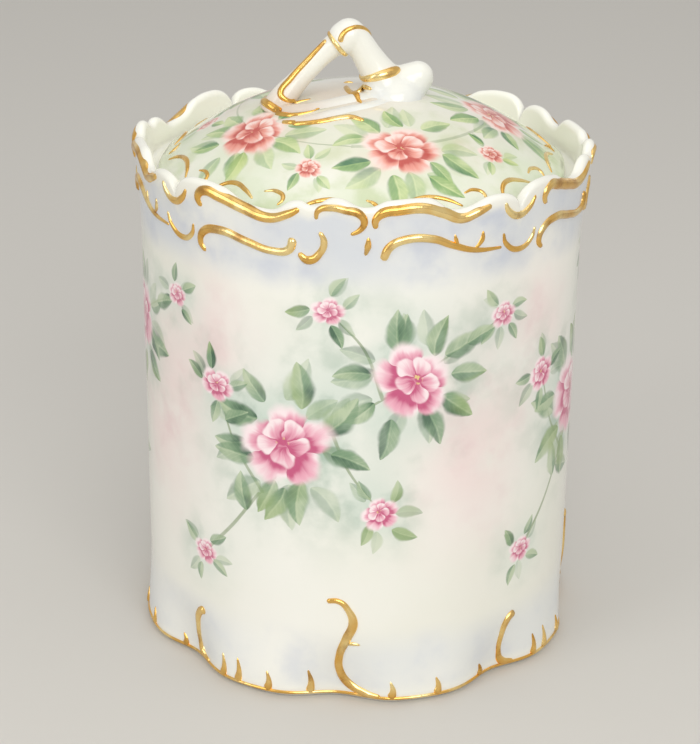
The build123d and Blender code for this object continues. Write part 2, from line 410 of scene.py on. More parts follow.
def bent(number, scale, amount):
    """A coordinate that noise has pushed a little to and fro."""
    return (grain(number.tree, scale, 2.0) - 0.5) * amount + number


def build_blossom():
    inputs = [("Place", "Vector", None)] + [(name, "Color", None) for name in ("Pale", "Middle", "Deep")]
    tree, given, made = new_tree("Painted blossom", "ShaderNodeTree", inputs, DRAWN)
    colours = given["Pale"], given["Middle"], given["Deep"]
    across, up, tone = split(given["Place"])
    across, up = bent(across, 105.0, PETAL_WAVER), bent(up, 125.0, PETAL_WAVER)
    cup_up = up - CUP_SHIFT
    reach, cup_reach = length(across, up), length(across, cup_up)
    far = calc("MAXIMUM", reach, 0.001)
    way_x, way_y = across / far, up / far
    strokes = grain(tree, 4.0, 3.0, join(way_x, way_y, reach * 0.3)) - 0.5
    below = way_y * -0.2 + way_x * 0.1

    def ring(offset, size, height, reach):
        """How far out a point lies in a ring of petals, and how deep the paint is there."""
        part = calc("FRACT", calc("ARCTAN2", height, across) * (PETALS / (2 * np.pi)) + offset)
        crown = calc("SINE", part * np.pi) ** PETAL_BLUNT
        out = reach / (crown * (PETAL_CUT * size) + (1 - PETAL_CUT) * size)
        depth = ease(out, 0.2, 0.95) * -0.72 + 0.82
        depth = depth + ease(part, 0.32, 0.02) * 0.42 - ease(part, 0.66, 0.97) * 0.24
        return out, depth + strokes * 0.75 + below

    outer, outer_depth = ring(0.5, 1.0, up, reach)
    inner, inner_depth = ring(0.0, INNER_RING, cup_up, cup_reach)
    petal = toned(ease(inner, 1.55, 0.95) * 0.4 + outer_depth, *colours)
    cup = toned(inner_depth + 0.06, *colours)
    colour = mixed(ease(inner, 1.02, 0.9), petal, cup)
    core = mixed(ease(grain(tree, 900.0, 1.0), 0.55, 0.68), given["Deep"], tint("e6c98a"))
    feed(mixed(ease(cup_reach, HEART, 0.45 * HEART), colour, core), made["Colour"])
    strength = calc("MINIMUM", strokes * 0.3 + 1.0 - tone * 0.7, 1.0)
    feed(ease(outer, 1.04, 0.8) * strength, made["Cover"])
    return tree


blossom = build_blossom()
print("blossom with", len(blossom.nodes), "nodes")

# %% [markdown]
# ## A painted leaf and a stem
# A leaf's coordinates run from its stalk to its tip. One half is darker than the other, and the midrib is left pale.
# Thin leaves behind the others are the same drawing with less cover. A stem only needs the distance from its middle.

# %% The leaf and the stem as shader groups
LEAF_WIDTH, LEAF_BELLY, LEAF_BLUNT = 0.29, 0.78, 0.85
VEIN_SLANT, VEIN_COUNT = 1.3, 42.0


def build_leaf():
    inputs = [("Place", "Vector", None)] + [(name, "Color", None) for name in ("Light", "Middle", "Dark", "Warm")]
    tree, given, made = new_tree("Painted leaf", "ShaderNodeTree", inputs, DRAWN)
    along, across, tone = split(given["Place"])
    across = bent(across, 150.0, 0.1)
    side = calc("ABSOLUTE", across)
    swell = calc("SINE", held(along) ** LEAF_BELLY * np.pi)
    width = calc("MAXIMUM", swell, 0.0) ** LEAF_BLUNT * LEAF_WIDTH + 0.002
    share = bent(side, 420.0, 0.05) / width
    wet = grain(tree, 85.0) - 0.5
    veins = calc("SINE", (along - side * VEIN_SLANT) * VEIN_COUNT)
    depth = wet * 1.7 + 0.74 - ease(across, -0.04, 0.05) * 0.34 - along * 0.22
    depth = depth + ease(share, 0.62, 0.98) * 0.24
    depth = depth - ease(veins, 0.5, 1.0) * 0.06 - ease(side, 0.04, 0.006) * 0.28
    colour = toned(depth, given["Light"], given["Middle"], given["Dark"])
    warm = ease(grain(tree, 52.0, 1.0), 0.5, 0.64) * 0.5
    feed(mixed(warm, colour, given["Warm"]), made["Colour"])
    inside = ease(share, 1.0, 0.6) * calc("LESS_THAN", along, 1.0) * calc("GREATER_THAN", along, 0.0)
    feed(inside * held(wet * 0.5 + 0.95 - tone * 0.85), made["Cover"])
    return tree


def build_stem():
    tree, given, made = new_tree("Painted stem", "ShaderNodeTree", [("Place", "Vector", None)], [("Cover", "Float")])
    distance, along, tone = split(given["Place"])
    width = calc("MAXIMUM", along * -0.35 + 0.6, 0.25)
    brush = grain(tree, 160.0) * 0.7 + 0.35
    cover = ease(calc("ABSOLUTE", distance) / width, 1.25, 0.6) * brush
    feed(cover * (1.0 - tone), made["Cover"])
    return tree


leaf = build_leaf()
stem = build_stem()
print("leaf with", len(leaf.nodes), "nodes, stem with", len(stem.nodes), "nodes")

# %% [markdown]
# ## Glazes
# The body, the lid and the handle share one clear glaze over an ivory ground. The washes differ from piece to piece,
# and the handle's grey-blue one is painted shade at its root.
# The mesh carries how strong each wash is, and noise breaks its edge up as water does. The inside is painted whiter:
# painted light where the lid and lip keep the room's light out.

# %% Glazes
IVORY, CREAM, PAINTED_LIGHT_WHITE = tints("efeee6 e9e8dc fbfaef")
STEM_GREEN = tint("8c9c78")
GLAZE_ROUGHNESS = 0.09
WASH_SCALES, POOL_SCALE, POOL_STRENGTH = (38.0, 46.0, 30.0), 2.2, 0.7
LEAF_LAYERS = ("leaves_1", "leaves_2", "leaves_3", "leaves_4")


def washed(ground, colours):
    """Three washes over a ground, by the mesh's own shares, each with a deeper colour where it pooled."""
    tree = ground.tree
    for share, (thin, pooled), scale in zip(split(painted(tree, "washes")), colours, WASH_SCALES):
        wet = share * ease(grain(tree, scale, 5.0), 0.2, 0.62)
        pool = share * ease(grain(tree, POOL_SCALE * scale, 4.0), 0.46, 0.72)
        ground = mixed(pool * POOL_STRENGTH, mixed(wet, ground, thin), pooled)
    return ground


def flowered(ground, petals, leaves):
    """Stems, the layers of leaves and the blossoms over a ground."""
    tree = ground.tree
    ground = mixed(use_group(stem, Place=painted(tree, "stems"))["Cover"], ground, STEM_GREEN)
    marks = [(leaf, layer, dict(zip(("Light", "Middle", "Dark", "Warm"), leaves))) for layer in LEAF_LAYERS]
    marks.append((blossom, "blossoms", dict(zip(("Pale", "Middle", "Deep"), petals))))
    for group, layer, colours in marks:
        drawn = use_group(group, Place=painted(tree, layer), **colours)
        ground = mixed(drawn["Cover"], ground, drawn["Colour"])
    return ground


def glaze(name, washes, petals=None, leaves=None):
    """A glaze with three washes, and with flowers where their colours are given."""
    material, shader = new_finish(name, GLAZE_ROUGHNESS)
    tree = material.node_tree
    ground = mixed(ease(grain(tree, 14.0), 0.35, 0.75), IVORY, CREAM)
    # Painted light: the inward-facing glaze is whitened, where the lid and the lip shade the jar's inside.
    ground = mixed(split(painted(tree, "inside"))[0], ground, PAINTED_LIGHT_WHITE)
    ground = washed(ground, [tints(pair) for pair in washes])
    if petals:
        ground = flowered(ground, tints(petals), tints(leaves))
    feed(ground, shader.inputs["Base Color"])
    ripple(shader, 34.0, 0.12, 0.0006)
    return material


body_glaze = glaze(
    "painted_glaze_body",
    ("efdad7 e5c9c9", "c5d4c8 86a48f", "d4d8dd c0c6d4"),
    "f8e6e8 e9a9bb c4587f",
    "b7c6a4 7c9a79 42624d 9fb36f",
)
lid_glaze = glaze(
    "painted_glaze_lid",
    ("dccfbf d0c0ac", "d4dec2 b4c68f", "eed8d0 e5bdb2"),
    "f6ddd4 e69a8b bf5249",
    "c9d69a 86aa68 37704a c3cf7e",
)
# The handle's first wash is a beige one low on its left; its second is grey-blue painted shade low on the right root.
handle_glaze = glaze("white_glaze_handle", ("dccfc1 d2c3b3", "e0e3e4 cfd5da", "e9dfda dccbc4"))
print("glazes", [material.name for material in (body_glaze, lid_glaze, handle_glaze)])

# %% [markdown]
# ## Gilding
# The gold is brushed on in a thin layer over raised porcelain and burnished after firing.
# It is thick and bright where the brush lingered, and brown where it is thin, so noise mixes three golds.

# %% Gilding
GOLD, BRIGHT_GOLD, BROWN_GOLD = tints("ecba62 ffe6a4 96602c")
GOLD_ROUGHNESS, THIN_ROUGHNESS = 0.17, 0.22


def gilding():
    material, shader = new_finish("burnished_gilding", GOLD_ROUGHNESS)
    tree = material.node_tree
    feed(1.0, shader.inputs["Metallic"])
    thin = ease(grain(tree, 190.0, 4.0), 0.5, 0.78)
    bright = ease(grain(tree, 90.0, 2.0), 0.42, 0.7)
    feed(mixed(thin * 0.65, mixed(bright, GOLD, BRIGHT_GOLD), BROWN_GOLD), shader.inputs["Base Color"])
    feed(thin * THIN_ROUGHNESS + GOLD_ROUGHNESS, shader.inputs["Roughness"])
    ripple(shader, 420.0, 0.35, 0.0003)
    return material


gold = gilding()
print("finish", gold.name)

# %% [markdown]
# ## Turning on the wheel
# A thrown or cast pot is a shape of revolution. The profile starts under the foot, goes up the outside,
# over the lip and down the inside. Its two ends lie on the axis, so the mesh closes in two poles.

# %% Lathe
def skin(rings, first, last):
    """Points and faces of a closed mesh through rings of points, with a pole at either end."""
    count, steps = rings.shape[:2]
    here = np.arange(steps)
    after = (here + 1) % steps
    low = steps * np.arange(count - 1)[:, None]
    high = low + steps
    sides = np.stack([low + here, low + after, high + after, high + here], axis=-1).reshape(-1, 4)
    start, top = 0 * here + count * steps, (count - 1) * steps
    ends = np.vstack([np.stack([start, after, here], axis=1), np.stack([start + 1, top + here, top + after], axis=1)])
    return np.vstack([rings.reshape(-1, 3), first, last]), sides.tolist() + ends.tolist()


def lathe(name, profile, steps, **columns):
    """A closed mesh of revolution from radii and heights in millimetres, with further columns kept as shares."""
    table = np.array(profile, float)
    turns = 2 * np.pi * np.arange(steps) / steps
    radii, heights = table[1:-1, :1], table[1:-1, 1:2]
    rings = np.stack([radii * np.sin(turns), -radii * np.cos(turns), heights + 0 * turns], axis=-1)
    points, faces = skin(rings, (0, 0, table[0, 1]), (0, 0, table[-1, 1]))
    mesh = bpy.data.meshes.new(name)
    mesh.from_pydata((points * MM).tolist(), [], faces)
    mesh.polygons.foreach_set("use_smooth", [True] * len(mesh.polygons))
    for share, column in columns.items():
        keep(mesh, share, np.append(np.repeat(table[1:-1, column], steps), table[[0, -1], column]))
    return mesh


print("lathe is ready")

# %% [markdown]
# ## The body
# The lathe gives a plain round jar, and a geometry tree then presses in the lobes and waves the rim.
# Each ring says how far it follows the lobes, and how far it follows the waves: the hollow inside follows neither.

# %% Profile of the body
BODY_STEPS = 400
WAVE_START = 134.0
LIP = RIM_WALL / 2


def body_profile():
    """Radius, height, share of the lobes and share of the waves, ring by ring."""
    lip_height, under = RIM_HEIGHT - LIP, LEDGE_HEIGHT - LEDGE_THICKNESS
    edge, inside = WALL_RADIUS - FOOT_TUCK, WALL_RADIUS - RIM_WALL
    spots = [
        (0, FOOT_RECESS, 0, 0), (30, FOOT_RECESS, 0, 0), (RECESS_RADIUS - 2, FOOT_RECESS, 0, 0),
        (RECESS_RADIUS - 0.7, FOOT_RECESS - 0.4, 0, 0), (RECESS_RADIUS, FOOT_RECESS / 2, 0, 0),
        (RECESS_RADIUS + 0.4, 0.3, 0, 0), (RECESS_RADIUS + 1.2, 0, 0, 0), (59.0, 0, 0.45, 0),
        (edge - 1.2, 0, 1, 0), (edge - 0.5, 0.2, 1, 0), (edge, 0.8, 1, 0), (edge + 0.5, 1.6, 1, 0),
    ]
    for height in np.arange(FOOT_EDGE, lip_height - 0.5, 1.0):
        spots.append((WALL_RADIUS, height, 1, faded(height, WAVE_START, lip_height)))
    for angle in np.linspace(0, np.pi, 11):
        spots.append((WALL_RADIUS - LIP + LIP * np.cos(angle), lip_height + LIP * np.sin(angle), 1, 1))
    for height in np.linspace(lip_height - 0.8, LEDGE_HEIGHT + 0.8, 10):
        spots.append((inside, height, 1, faded(height, LEDGE_HEIGHT, lip_height)))
    spots += [
        (inside - 0.3, LEDGE_HEIGHT + 0.2, 1, 0), (inside - 1, LEDGE_HEIGHT, 0.8, 0),
        (MOUTH_RADIUS + 0.5, LEDGE_HEIGHT, 0, 0), (MOUTH_RADIUS, LEDGE_HEIGHT - 0.5, 0, 0),
        (MOUTH_RADIUS, under, 0, 0), (INNER_RADIUS, under - (INNER_RADIUS - MOUTH_RADIUS), 0, 0),
    ]
    for height in np.linspace(130, CAVITY_FLOOR + CAVITY_FILLET, 14):
        spots.append((INNER_RADIUS, height, 0, 0))
    for angle in np.linspace(0, np.pi / 2, 8)[1:]:
        reach = INNER_RADIUS - CAVITY_FILLET * (1 - np.cos(angle))
        spots.append((reach, CAVITY_FLOOR + CAVITY_FILLET * (1 - np.sin(angle)), 0, 0))
    return spots + [(25, CAVITY_FLOOR, 0, 0), (0, CAVITY_FLOOR, 0, 0)]


turned = lathe("painted_jar_body", body_profile(), BODY_STEPS, lobes=2, waves=3)
print("turned body with", len(turned.vertices), "points")

# %% [markdown]
# ## Lobes and waves
# The rim's edge dips and rises in the same order four times round. A Float Curve holds one repeat of it.
# The tree lowers each ring by the waves first, then asks the wall's rule for the radius at the new height.

# %% The body's tree
RIM_WAVE = [
    (-45.0, 7.0), (-38.2, 0.4), (-31.0, 1.2), (-18.0, 5.3), (-9.6, 1.6), (-7.0, 2.6), (-1.0, 0.0),
    (6.1, 2.6), (11.4, 0.9), (20.4, 0.8), (28.5, 4.6), (39.0, 1.8), (45.0, 7.0),
]
DEEPEST = max(drop for degrees, drop in RIM_WAVE)
SPAN = 360 / REPEATS


def edge_drop(degrees):
    """How far the rim's edge lies under its highest place."""
    return np.interp((np.asarray(degrees) + SPAN / 2) % SPAN - SPAN / 2, *np.array(RIM_WAVE).T)


def dress(geometry, material, result):
    """Make real meshes of any copies, shade them smoothly and give them their finish."""
    for kind in ("GeometryNodeRealizeInstances", "GeometryNodeSetShadeSmooth"):
        geometry = add(geometry.tree, kind, Geometry=geometry)
    feed(add(geometry.tree, "GeometryNodeSetMaterial", Geometry=geometry, Material=material), result)


def build_body_tree():
    inputs = [("Geometry", "Geometry", None), ("Wave depth", "Float", DEEPEST), ("Repeats", "Float", float(REPEATS))]
    inputs += [("Glaze", "Material", None)]
    tree, given, made = new_tree("Lobes and waves", "GeometryNodeTree", inputs, [("Geometry", "Geometry")])

    def ring_share(name):
        return add(tree, "GeometryNodeInputNamedAttribute", "Attribute", {"data_type": "FLOAT"}, Name=name)

    x, y, z = split(add(tree, "GeometryNodeInputPosition"))
    turn = calc("ARCTAN2", x, y * -1.0)
    curve = tree.nodes.new("ShaderNodeFloatCurve")
    points = curve.mapping.curves[0].points
    places = [(degrees / SPAN + 0.5, drop / DEEPEST) for degrees, drop in RIM_WAVE]
    points[0].location, points[1].location = places[0], places[-1]
    for place in places[1:-1]:
        points.new(*place)
    curve.mapping.update()
    feed(calc("FRACT", turn / (2 * np.pi) * given["Repeats"] + (REPEATS + 0.5)), curve.inputs["Value"])
    height = z / MM - Result(curve.outputs[0]) * given["Wave depth"] * ring_share("waves")
    wall = use_group(wall_rule, Turn=turn, Height=height)["Radius"]
    radius = length(x, y) / MM + (wall - WALL_RADIUS) * ring_share("lobes")
    place = rolled(turn, radius, height)
    moved = add(tree, "GeometryNodeSetPosition", Geometry=given["Geometry"], Position=place)
    dress(moved, given["Glaze"], made["Geometry"])
    return tree


body = grow(add_piece("painted_jar_body", turned), build_body_tree(), Glaze=body_glaze)
print("body", len(body.data.vertices), "points, height", round(points_of(body.data)[:, 2].max(), 1))

# %% [markdown]
# ## The lid
# The lid is turned on the same lathe, from the pole under its dome, round the skirt and the border, to the top.
# Its border is scalloped in step with the jar's lobes, so only the outermost rings are pressed in.

# %% The lid
LID_STEPS = 400
LID_ROUND = 0.9


def on_ball(radius, reach):
    """A spot of a profile on a ball round the dome's centre."""
    return reach, DOME_CENTRE + np.sqrt(radius**2 - reach**2)


def lid_profile():
    low = LEDGE_HEIGHT - SKIRT_DEPTH
    spots = [on_ball(DOME_RADIUS - LID_WALL, reach) for reach in np.linspace(0, SKIRT_INNER - 0.4, 16)]
    spots += [
        (SKIRT_INNER, LEDGE_HEIGHT - 1), (SKIRT_INNER, low + 0.8), (SKIRT_INNER + 0.3, low + 0.2),
        (SKIRT_INNER + 1, low), (SKIRT_OUTER - 1, low), (SKIRT_OUTER - 0.3, low + 0.2), (SKIRT_OUTER, low + 0.8),
        (SKIRT_OUTER, LEDGE_HEIGHT - 0.3), (SKIRT_OUTER + 0.3, LEDGE_HEIGHT), (LID_RADIUS - LID_ROUND, LEDGE_HEIGHT),
        (LID_RADIUS - 0.25, LEDGE_HEIGHT + 0.3), (LID_RADIUS, LEDGE_HEIGHT + LID_ROUND),
        (LID_RADIUS, BORDER_HEIGHT - LID_ROUND), (LID_RADIUS - 0.3, BORDER_HEIGHT - 0.25),
        (LID_RADIUS - LID_ROUND, BORDER_HEIGHT + 0.05), (DOME_FOOT + 0.2, BORDER_HEIGHT + 0.15),
    ]
    return spots + [on_ball(DOME_RADIUS, reach) for reach in np.linspace(DOME_FOOT - 0.6, 0, 62)]


def scallop(mesh):
    """Press the border in between its scallops."""
    spots = points_of(mesh)
    turn, reach = polar(spots)
    share = np.clip((reach - DOME_FOOT) / (LID_RADIUS - LID_ROUND - DOME_FOOT), 0, 1)
    pressed = LID_SCALLOP * share * ((1 + np.cos(LOBES * turn)) / 2) ** 2
    spots[:, :2] *= (1 - pressed / np.maximum(reach, 1e-6))[:, None]
    move_points(mesh, spots)


dome = lathe("painted_lid_dome", lid_profile(), LID_STEPS)
scallop(dome)
dome.materials.append(lid_glaze)
lid = add_piece("painted_lid_dome", dome)
print("lid", len(dome.vertices), "points")

# %% [markdown]
# ## Painting on a canvas
# A wall is unrolled and a dome is flattened, so that the painter works on a plane in millimetres.
# Each mark claims the faces that it covers, and writes its own coordinates on their corners.
# Corners belong to one face only, so two marks side by side never bleed into each other.

# %% The canvas
FAR = 9.0
BLOSSOM_TILT, BLOSSOM_EDGE, BLOSSOM_ROOM = 0.84, 1.2, 1.0
LEAF_SWING, LEAF_TURN, LEAF_BEND = 16, 38, 0.4
LEAF_LEAST, LEAF_LENGTHS, LEAF_STALKS = 3.4, (0.46, 0.76), (0.66, 0.95)
LEAF_EDGE, LEAF_ROOM = 0.05, 0.8
STEM_ROOM, STEM_OVERLAP = 2.2, 0.2


class Canvas:
    """A mesh that marks are painted on, by the flat places of its points and where the used points are."""

    def __init__(self, mesh, flat, used, around=None):
        self.mesh, self.flat, self.around = mesh, flat, around
        self.start = read(mesh.polygons, "loop_start", kind=int)
        self.size = read(mesh.polygons, "loop_total", kind=int)
        self.corner = read(mesh.loops, "vertex_index", kind=int)
        self.face = np.repeat(np.arange(len(self.start)), self.size)
        self.used = np.logical_and.reduceat(used[self.corner], self.start)
        self.layers = {}
        self.left_out = 0

    def layer(self, name):
        """A layer's values at every corner, and the faces that are taken in it."""
        empty = np.full((len(self.corner), 3), (FAR, FAR, 0.0)), np.zeros(len(self.start), bool)
        return self.layers.setdefault(name, empty)

    def local(self, centre, turn):
        """Places of all points as seen from one spot, turned by degrees."""
        offset = self.flat - np.asarray(centre, float)
        if self.around:
            offset[:, 0] = (offset[:, 0] + self.around / 2) % self.around - self.around / 2
            offset[abs(offset[:, 0]) > self.around / 4] = np.nan
        c, s = np.cos(np.radians(turn)), np.sin(np.radians(turn))
        return np.stack([offset[:, 0] * c + offset[:, 1] * s, offset[:, 1] * c - offset[:, 0] * s], axis=1)

    def at_faces(self, values):
        """Means of point values over each face."""
        return np.add.reduceat(values[self.corner], self.start, axis=0) / self.size[:, None]

    def stamp(self, layer, places, claimed, tone):
        """Write a mark's coordinates on the corners of the faces that it claims."""
        values, taken = self.layer(layer)
        claimed = claimed & self.used
        taken |= claimed
        chosen = claimed[self.face]
        values[chosen, :2] = places[self.corner[chosen]]
        values[chosen, 2] = tone

    def blossom(self, centre, size, turn, tone):
        places = self.local(centre, turn) / size * (1.0, 1 / BLOSSOM_TILT)
        reach = np.hypot(*self.at_faces(places).T)
        self.stamp("blossoms", places, reach < BLOSSOM_EDGE + BLOSSOM_ROOM / size, tone)

    def leaf(self, stalk, length, turn, bend, tone):
        """Paint a leaf on the first layer that has room for it."""
        places = self.local(stalk, turn) / length
        places[:, 1] -= bend * places[:, 0] * (1 - places[:, 0])
        along, across = self.at_faces(places).T
        room = LEAF_ROOM / length
        belly = np.clip(np.sin(np.pi * np.clip(along, 0, 1) ** LEAF_BELLY), 0, 1)
        near = abs(across) < LEAF_WIDTH * belly**LEAF_BLUNT + LEAF_EDGE + room
        claimed = (along > -room) & (along < 1 + room) & near
        for layer in LEAF_LAYERS:
            if not (claimed & self.layer(layer)[1]).any():
                self.stamp(layer, places, claimed, tone)
                return
        self.left_out += 1

    def leaves_round(self, centre, size, count, tones, random):
        """Leaves that look out from under a blossom."""
        start = random.uniform(0, 360)
        for step in range(count):
            way = start + 360 / count * step + random.uniform(-LEAF_SWING, LEAF_SWING)
            out = np.array([np.cos(np.radians(way)), np.sin(np.radians(way))])
            length = LEAF_LEAST + size * random.uniform(*LEAF_LENGTHS)
            turn = way + random.uniform(-LEAF_TURN, LEAF_TURN)
            bend = random.uniform(-LEAF_BEND, LEAF_BEND)
            stalk = centre + random.uniform(*LEAF_STALKS) * size * out
            self.leaf(stalk, length, turn, bend, random.uniform(*tones))

    def stem(self, path, tone=0.0, cuts=6):
        """A line through a path's points: its faces hold their distance from the nearest stretch."""
        line = smooth_path(path, cuts * len(path))
        for first, second, share in zip(line[:-1], line[1:], np.linspace(0, 1, len(line) - 1)):
            way = np.degrees(np.arctan2(*(second - first)[::-1]))
            end = np.hypot(*(second - first)) + STEM_OVERLAP
            places = self.local(first, way)
            along, across = self.at_faces(places).T
            places = np.stack([places[:, 1], np.full(len(places), share)], axis=1)
            self.stamp("stems", places, (along > -STEM_OVERLAP) & (along < end) & (abs(across) < STEM_ROOM), tone)

    def store(self):
        for name, (values, taken) in self.layers.items():
            keep(self.mesh, name, values, "CORNER")
            print(self.mesh.name, name, int(taken.sum()), "faces painted")
        print("leaves with no room:", self.left_out)


def smooth_path(points, count):
    """Points along a smooth line through given points."""
    knots = np.array(points, float)
    padded = np.vstack([2 * knots[0] - knots[1], knots, 2 * knots[-1] - knots[-2]])
    places = np.linspace(0, len(knots) - 1, count)
    index = np.minimum(places.astype(int), len(knots) - 2)
    t = (places - index)[:, None]
    a, b, c, d = (padded[index + step] for step in range(4))
    return 0.5 * (2 * b + (c - a) * t + (2 * a - 5 * b + 4 * c - d) * t**2 + (3 * b - a - 3 * c + d) * t**3)


print("canvas is ready")

# %% [markdown]
# ## Flowers on the wall
# One spray climbs slantwise from low on the left to high on the right, and comes four times round the jar.
# The design is a plain one: two full blossoms, some small ones, leaves and a stem.
# Only points whose normals look away from the axis are painted, so the inside stays plain.
# Thin leaves go on first and full ones over them. A seeded random turn makes no two sprays alike, as by hand.

# %% Flowers on the wall
WALL_STEMS = [
    [(-43, 40), (-32, 52), (-20, 68), (-4, 85), (14, 97), (30, 107), (46, 115)],
    [(-22, 65), (-31, 78), (-36, 92)],
    [(-2, 86), (3, 74), (11, 63)],
    [(12, 96), (7, 110), (-2, 120)],
]
WALL_BLOSSOMS = [
    ((-15, 80), 15.5, 0.0), ((20, 101), 13.0, 0.0), ((-37, 94), 6.4, 0.1), ((12, 61), 6.2, 0.05),
    ((-3, 121), 5.4, 0.15), ((-43, 40), 5.2, 0.15), ((48, 116), 4.8, 0.2),
]
STEM_LEAVES = [((-27, 58), 12, 100), ((-25, 61), 12, -20), ((8, 93), 11, -70), ((36, 110), 10, 20), ((-34, 84), 9, 30)]
FULL, THIN = (0.0, 0.2), (0.4, 0.65)
WALL_LEAVES = ((THIN, 9, 3), (FULL, 11, 4))
STEM_LEAF_BEND, STEM_LEAF_TONE, WALL_SPIN = 0.3, 0.1, 50
FULL_SIZE, OUTWARD, SEED = 10, 0.2, 7
wall = points_of(body.data)
wall_turn = polar(wall)[0]
around = 2 * np.pi * WALL_RADIUS
ways = read(body.data.vertices, "normal", 3)
facing = np.sin(wall_turn) * ways[:, 0] - np.cos(wall_turn) * ways[:, 1]
outside = facing > OUTWARD
flat_wall = np.stack([WALL_RADIUS * wall_turn, wall[:, 2]], axis=1)
wall_canvas = Canvas(body.data, flat_wall, outside, around)
random = np.random.default_rng(SEED)
shifts = [around / REPEATS * repeat for repeat in range(REPEATS)]
for shift in np.array([(across, 0.0) for across in shifts]):
    for path in WALL_STEMS:
        wall_canvas.stem(np.array(path) + shift)
    for tones, full_count, small_count in WALL_LEAVES:
        for centre, size, tone in WALL_BLOSSOMS:
            count = full_count if size > FULL_SIZE else small_count
            wall_canvas.leaves_round(centre + shift, size, count, tones, random)
    for stalk, size, turn in STEM_LEAVES:
        bend = random.uniform(-STEM_LEAF_BEND, STEM_LEAF_BEND)
        wall_canvas.leaf(stalk + shift, size, turn, bend, STEM_LEAF_TONE)
    for centre, size, tone in WALL_BLOSSOMS:
        wall_canvas.blossom(centre + shift, size, random.uniform(-WALL_SPIN, WALL_SPIN), tone)
wall_canvas.store()

# %% [markdown]
# ## Washes on the wall
# The painter laid thin washes first: lilac on the collar, pink beside the sprays and a green shadow behind them.
# They change slowly, so a share at each point of the mesh is fine enough.

# %% Washes on the wall
PINK_CLOUDS = [(1.0, (40, 82, 17, 27)), (0.8, (-40, 108, 13, 16))]
SHADOW_WIDE, SHADOW_HIGH, SHADOW_ROOM, SMALL_SHADOW = 1.25, 1.2, 3, 0.6
COLLAR_FADE, EDGE_FADE, LIP_FADE = (124, 134), (2.0, 5.0), (0.0, 0.6)
FOOT_LILAC, FOOT_FADE, LINE_FADE = 0.5, (26, 14), (2, 6)
INSIDE_PAINTED_LIGHT_FADE = (0.3, -0.3)
heights = wall[:, 2]


def clouds(x, z, wide, high):
    """Soft round patches on the unrolled wall, one for every spray."""
    total = 0.0
    for shift in shifts:
        across = (flat_wall[:, 0] - x - shift + around / 2) % around - around / 2
        total = total + np.exp(-((across / wide) ** 2 + ((heights - z) / high) ** 2))
    return total


pink = sum(share * clouds(*place) for share, place in PINK_CLOUDS)
green = sum(
    (1.0 if size > FULL_SIZE else SMALL_SHADOW)
    * clouds(x, z, SHADOW_WIDE * size + SHADOW_ROOM, SHADOW_HIGH * size + SHADOW_ROOM)
    for (x, z), size, tone in WALL_BLOSSOMS
)
below_edge = RIM_HEIGHT - edge_drop(np.degrees(wall_turn)) - heights
lilac = faded(heights, *COLLAR_FADE) * faded(below_edge, *EDGE_FADE) * faded(facing, *LIP_FADE)
# A bluish-grey band is also laid low on the wall, from the foot line up, fading out between 14 and 26 mm.
lilac = lilac + FOOT_LILAC * faded(heights, *FOOT_FADE) * faded(heights, *LINE_FADE)
washes = np.stack([pink, green, lilac], axis=1) * outside[:, None]
keep(body.data, "washes", np.clip(washes, 0, 1))
# Painted light: a share that whitens the glaze facing the axis, where little light reaches inside.
keep(body.data, "inside", faded(facing, *INSIDE_PAINTED_LIGHT_FADE))
finish_piece(body, "jar", "porcelain_body", "jar_body")

# %% [markdown]
# ## Flowers on the lid
# On the dome a ring of coral blossoms lies between pairs of leaves. The dome is flattened by its arc lengths.

# %% Flowers on the lid
LID_BLOSSOMS, FIRST_BLOSSOM, BUD_TURN = 5, 22, 36
BLOSSOM_REACH, BLOSSOM_SIZE, BUD_REACH, BUD_SIZE = 39.0, 12.5, 47.0, 4.6
LID_LEAVES, LID_SPIN, BUD_TONE = ((THIN, 7, 3), (FULL, 9, 3)), 40, 0.1
WREATH_REACH, WREATH_TONE, DOME_SKIN = BLOSSOM_REACH - 1.5, 0.35, 1.0
BEIGE_CENTRE, BEIGE_SIZE = np.array([-8, -9]), np.array([22, 15])
MINT_START, MINT_WIDTH, MINT_STRENGTH, BLUSH_WIDTH, BLUSH_STRENGTH = 14, 20, 0.8, 12, 0.3


def on_ring(degrees, distance):
    """A flat place on a ring round the dome's top."""
    angle = np.radians(degrees)
    return np.array([distance * np.sin(angle), -distance * np.cos(angle)])


top = points_of(dome)
turn, reach = polar(top)
arc = DOME_RADIUS * np.arcsin(np.clip(reach / DOME_RADIUS, 0, 1))
flat_dome = on_ring(np.degrees(turn), arc).T
on_top = top[:, 2] > DOME_CENTRE + np.sqrt(np.maximum(DOME_RADIUS**2 - reach**2, 0)) - DOME_SKIN
lid_canvas = Canvas(dome, flat_dome, on_top)
places = [FIRST_BLOSSOM + 360 / LID_BLOSSOMS * number for number in range(LID_BLOSSOMS)]
lid_canvas.stem([on_ring(angle, WREATH_REACH) for angle in range(0, 361, 15)], WREATH_TONE, cuts=3)
for tones, count, bud_count in LID_LEAVES:
    for place in places:
        lid_canvas.leaves_round(on_ring(place, BLOSSOM_REACH), BLOSSOM_SIZE, count, tones, random)
        lid_canvas.leaves_round(on_ring(place + BUD_TURN, BUD_REACH), BUD_SIZE, bud_count, tones, random)
for place in places:
    for spot, size, tone in ((on_ring(place, BLOSSOM_REACH), BLOSSOM_SIZE, 0.0),
                             (on_ring(place + BUD_TURN, BUD_REACH), BUD_SIZE, BUD_TONE)):
        lid_canvas.blossom(spot, size, place + random.uniform(-LID_SPIN, LID_SPIN), tone)
lid_canvas.store()
beige = np.exp(-(((flat_dome - BEIGE_CENTRE) / BEIGE_SIZE) ** 2).sum(axis=1))
mint = np.clip((arc - MINT_START) / MINT_WIDTH, 0, 1) * MINT_STRENGTH
